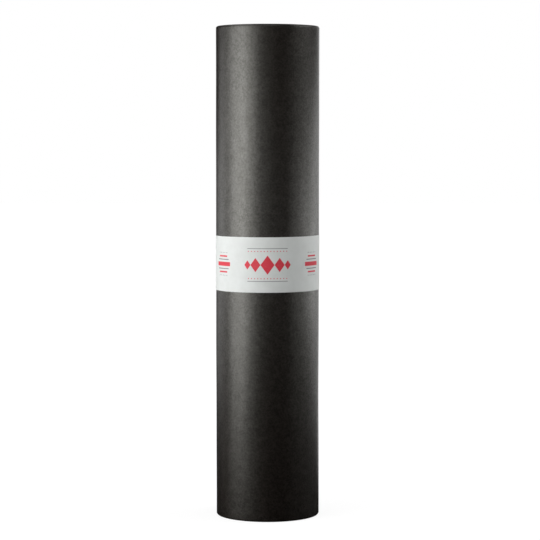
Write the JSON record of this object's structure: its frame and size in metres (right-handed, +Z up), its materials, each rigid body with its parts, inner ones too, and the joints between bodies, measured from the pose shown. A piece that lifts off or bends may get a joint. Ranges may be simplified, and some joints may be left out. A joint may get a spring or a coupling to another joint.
{
  "type": "roll of roofing felt",
  "caption": "Roll of asphalt-saturated roofing felt standing on its end, wound without a core round an open bore, with a printed paper band round its middle.",
  "frame": {"origin": "on the roll's axis, at the level that its lower end stands on", "axes": "+Z up along the roll's axis; -Y is the front, and the sheet's tail and the band's lap are at the back"},
  "size_m": [0.1927, 0.1931, 0.9152],
  "materials": {
    "felt": "satin",
    "paper": "matte"
  },
  "bodies": {
    "root": {"felt_roll": "felt", "paper_band": "paper"}
  },
  "joints": []
}
